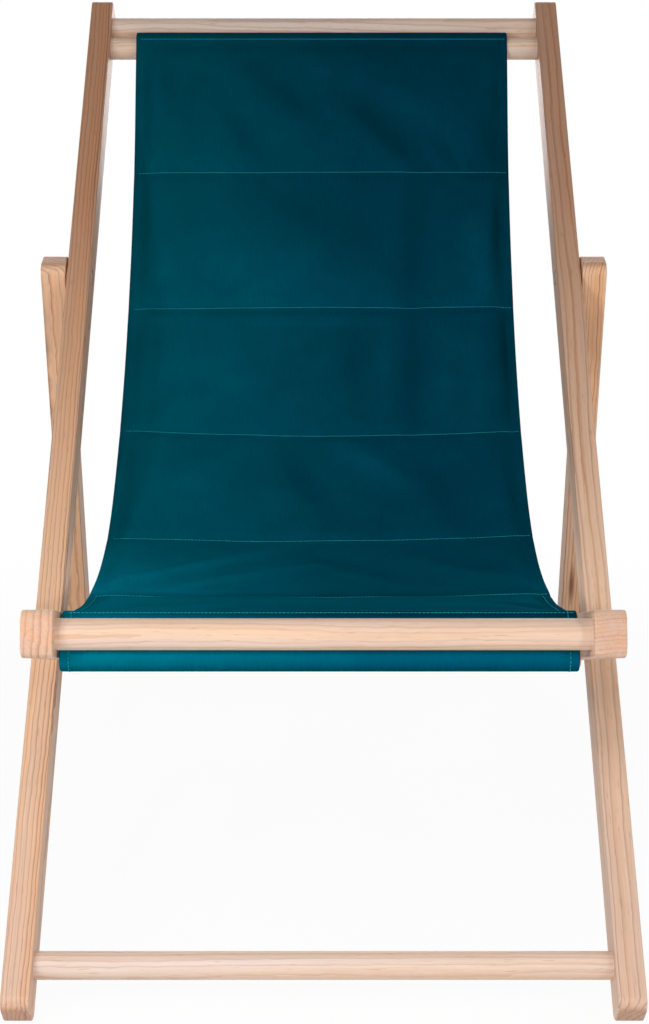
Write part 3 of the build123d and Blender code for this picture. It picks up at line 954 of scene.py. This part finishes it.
def painted_light_along_cut(g, across, along, form):
    """Painted light and shade on the cut: painted shade at the top, on the front panel and under the roll, a
    painted highlight on the front roll, and painted light at the front left.
    """
    last_seam = form.seams[-1]
    roll = form.marks[-1] + form.front.wrap_distance(ROLL_ANGLE)
    under = form.marks[-1] + UNDER_START
    tone = g.times(
        g.level(along, *TOP_REACH, CLOTH_TOP_PAINTED_SHADE, 1.0),
        g.level(along, last_seam - FRONT_BLEND, last_seam, 1.0, FRONT_PAINTED_SHADE),
    )
    tone = g.times(tone, g.level(along, roll, roll + ROLL_BLEND, 1.0, ROLL_PAINTED_HIGHLIGHT))
    tone = g.times(tone, g.level(along, under, under + UNDER_BLEND, 1.0, UNDER_PAINTED_SHADE))
    paler = g.times(g.level(across, *LEFT_REACH, LEFT_PAINTED_LIGHT, 0.0), g.level(along, form.seams[-2], last_seam))
    paler = g.times(paler, g.level(along, roll, roll + ROLL_BLEND, 1.0, 0.0))
    return g.times(tone, g.add(paler, 1.0))


def satin_cloth(g, form):
    """Satin polyester: a fine plain weave on the cut's own map, a soft sheen, and painted light and shade in
    slow changes of tone.
    """
    cut = g.node("UVMap", uv_map="cut").outputs[0]
    across, along, _ = g.axes(cut)
    weave = plain_weave(g, cut)
    slub = g.noise(g.stretch(cut, SLUB_SCALE), roughness=0.6)
    cloud = g.noise(g.place(), CLOUD_SCALE, detail=4.0, roughness=0.6)
    crumple = g.noise(g.place(), CRUMPLE_SCALE, detail=4.0, roughness=0.6)
    fold = g.node("Attribute", attribute_name="fold").outputs["Fac"]

    colour = g.mix(g.level(cloud, *NOISE_MIDDLE), linear(CLOTH_COLOUR), linear(CLOTH_SECOND))
    # Painted light towards the cloth's left side, painted shade towards its right
    colour = g.tint(colour, g.mix(g.level(across, *SIDE_REACH), LIT_SIDE_PAINT, SHADED_SIDE_PAINT))
    # Painted shade and highlight along the cut
    colour = g.shade(colour, painted_light_along_cut(g, across, along, form))
    # Painted shade in the fold valleys and painted light on the ridges
    colour = g.shade(colour, g.level(fold, *FOLD_HEIGHTS, *FOLD_PAINTED_SHADES))
    colour = g.shade(colour, g.level(slub, *NOISE_RANGE, *SLUB_TONES))
    colour = g.shade(colour, g.level(weave, 0.0, 1.0, *WEAVE_TONES))

    height = g.add(g.times(weave, WEAVE_RELIEF), crumple)
    height = g.add(height, g.times(slub, SLUB_RELIEF))
    return g.node("BsdfPrincipled", {
        "Base Color": colour, "Metallic": 0.05, "Roughness": g.level(slub, *NOISE_WIDE, *CLOTH_ROUGHNESS),
        "Specular IOR Level": 0.0, "Specular Tint": linear(CLOTH_GLOSS), "Sheen Weight": 0.25,
        "Sheen Roughness": 0.40, "Sheen Tint": linear(CLOTH_SHEEN),
        "Normal": g.bump(height, strength=0.35, distance=0.0012),
    })


def thread(g):
    """Polyester thread with a fine twist."""
    twist = g.noise(g.stretch(g.place(), TWIST_SCALE), detail=1.0)
    colour = g.mix(g.level(twist, *NOISE_MIDDLE), linear(THREAD_COLOUR), linear(THREAD_SECOND))
    return g.node("BsdfPrincipled", {
        "Base Color": colour, "Metallic": 0.35, "Roughness": 0.42, "Specular IOR Level": 0.0,
        "Specular Tint": linear(THREAD_COLOUR), "Normal": g.bump(twist, strength=0.3, distance=0.0002),
    })


def dress(node, material):
    mesh = nodes[node].data
    mesh.materials.clear()
    mesh.materials.append(material)


def rail_look(**changes):
    look = {
        "pith": (0.09, 0.02), "ring_gap": 0.0036, "wander": 0.008, "ripple": 0.0026, "uneven": 1.8,
        "onset": (0.65, 0.25), "contrast": 1.0, "pores": 0.35, "streak": 0.10,
        "light": RAIL_LIGHT, "dark": RAIL_DARK, "seed": 0.0,
    }
    return look | changes


def calm_look(**changes):
    """A rail of straight, even grain."""
    return rail_look(wander=0.002, uneven=0.5, contrast=0.55, dark=CALM_DARK) | changes


def bar_look(**changes):
    look = rail_look(
        pith=(0.02, 0.03), ring_gap=0.0048, wander=0.022, uneven=2.4, contrast=0.7, pores=0.30, streak=0.05,
        light=BAR_LIGHT, dark=BAR_DARK,
    )
    return look | changes


def slope(start, end):
    """Angle of the line between two points of the side plane."""
    return math.atan2(end[1] - start[1], end[0] - start[0])


def pivot(joint):
    return joints[joint]["pos_m"][1], joints[joint]["pos_m"][2]


def dress_rail(node, angle, through, look):
    """Wood whose grain runs along a rail at this angle through a point of the side plane."""
    low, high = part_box(node)
    across = through[1] * math.cos(angle) - through[0] * math.sin(angle)
    centre = ((low.x + high.x) / 2, across)
    dress(node, finished(node, wood, (-angle, 0.0, 0.0), centre, look))


def dress_bar(node, **changes):
    """Wood whose grain runs along a bar, from side to side."""
    y, z = bar_centre(node)
    turn = (0.0, 0.0, math.radians(90.0))
    dress(node, finished(node, wood, turn, (-y, z), bar_look(**changes)))


def dress_rails():
    main, prop_start = pivot("seat_fold"), pivot("prop_swing")
    back = slope(bar_centre("bottom_bar"), bar_centre("sling_bar_top"))
    seat = slope(bar_centre("front_bar"), bar_centre("rear_bar"))
    prop = slope(prop_start, bar_centre("prop_bar"))
    dress_rail("back_rail_left", back, main, rail_look(
        pith=(-0.16, 0.03), seed=0.3, ring_gap=0.0040, wander=0.012, top_tint=RAIL_TOP_PAINTED_SHADE,
    ))
    dress_rail("back_rail_right", back, main, rail_look(
        pith=(0.036, -0.014), seed=1.7, ring_gap=0.0056, wander=0.014, ripple=0.0012, onset=(0.80, 0.55),
        contrast=0.62, light=BACK_RIGHT_LIGHT, top_tint=RAIL_TOP_PAINTED_SHADE,
    ))
    dress_rail("seat_rail_left", seat, main, calm_look(
        pith=(-0.15, 0.008), seed=2.6, ring_gap=0.0060, contrast=0.95, light=SEAT_LEFT_LIGHT,
    ))
    dress_rail("seat_rail_right", seat, main, calm_look(
        pith=(0.02, -0.20), seed=4.1, ring_gap=0.0034, light=SEAT_RIGHT_LIGHT,
    ))
    dress_rail("prop_leg_left", prop, prop_start, rail_look(pith=(0.03, 0.06), seed=5.3))
    dress_rail("prop_leg_right", prop, prop_start, rail_look(
        pith=(0.07, -0.04), seed=6.9, resin=RESIN_PLACE,
    ))


def dress_bars():
    dress_bar("top_bar", seed=0.4, light=TOP_BAR_LIGHT)
    dress_bar("sling_bar_top", seed=1.1, pith=(0.04, -0.02), light=TOP_BAR_LIGHT)
    dress_bar("bottom_bar", seed=2.3, pith=(-0.03, 0.03), light=BOTTOM_BAR_LIGHT)
    dress_bar("front_bar", seed=3.2, pith=(0.05, 0.01))
    dress_bar("sling_bar_front", seed=4.4)
    dress_bar("rear_bar", seed=5.1, pith=(-0.02, -0.03))
    dress_bar("prop_bar", seed=6.6, pith=(0.03, -0.03))
    dress_bar("sling_dowel_top", seed=7.2)
    dress_bar("sling_dowel_front", seed=8.5)


def dress_metal():
    plated = finished("pivot_steel", steel, STEEL_COLOUR, STEEL_ROUGHNESS)
    bright = finished("brad_steel", steel, BRAD_COLOUR, BRAD_ROUGHNESS)
    for node in nodes:
        if "pivot" in node:
            dress(node, plated)
        elif node.endswith("_pins"):
            dress(node, bright)


def hang_sling():
    """The cloth and its stitching in place of the model's plain sling."""
    form = Sling()
    cloth = make_sling(form)
    stitching = make_stitching(form)
    cloth.data.materials.append(finished("sling_satin", satin_cloth, form))
    stitching.data.materials.append(finished("sling_thread", thread))
    for piece in (cloth, stitching):
        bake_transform(piece)
    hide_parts("sling")
    round(form.length, 3)


def floor_white(g):
    """A pale floor that keeps the chair's shadow, but is nearly white to the camera."""
    pale = g.node("BsdfDiffuse", {"Color": FLOOR_COLOUR}).outputs[0]
    glow = g.node("Emission", {"Color": WHITE, "Strength": 1.0}).outputs[0]
    white = g.level(g.length(g.place()), *WHITE_REACH, *WHITE_SHARES)
    return g.node("MixShader", {0: g.times(g.seen(), white), 1: pale, 2: glow})


def make_floor():
    corners = [(x * FLOOR_SIZE, y * FLOOR_SIZE, 0.0) for x, y in ((-1, -1), (1, -1), (1, 1), (-1, 1))]
    floor = new_object("floor", corners, [(0, 1, 2, 3)])
    floor.data.materials.append(finished("floor_white", floor_white))


def area_light(name, place, target, size, power):
    data = bpy.data.lights.new(name, "AREA")
    data.size = size
    data.energy = power
    lamp = bpy.data.objects.new(name, data)
    bpy.context.scene.collection.objects.link(lamp)
    lamp.location = place
    way = [t - p for t, p in zip(target, place)]
    flat = math.hypot(way[0], way[1])
    lamp.rotation_euler = (math.atan2(flat, -way[2]), 0.0, math.atan2(-way[0], way[1]))


def light_world():
    """White to the camera and in gloss, a softer even light on the chair."""
    world = bpy.data.worlds.new("studio")
    bpy.context.scene.world = world
    g = Graph(world)
    strength = g.level(g.seen(), 0.0, 1.0, WORLD_STRENGTH, 1.0)
    g.output("OutputWorld", g.node("Background", {"Color": WHITE, "Strength": strength}))


def place_camera():
    data = bpy.data.cameras.new("camera")
    data.lens = FOCAL_PIXELS * SENSOR_WIDTH / IMAGE_HEIGHT
    data.sensor_width = SENSOR_WIDTH
    camera = bpy.data.objects.new("camera", data)
    bpy.context.scene.collection.objects.link(camera)
    camera.location = CAMERA_PLACE
    camera.rotation_euler = (math.radians(90.0 - CAMERA_PITCH), 0.0, 0.0)
    bpy.context.scene.camera = camera


dress_rails()
dress_bars()
dress_metal()
hang_sling()
make_floor()
for name, lamp in LAMPS.items():
    area_light(name, **lamp)
light_world()
place_camera()
bpy.context.scene.view_settings.view_transform = "Standard"
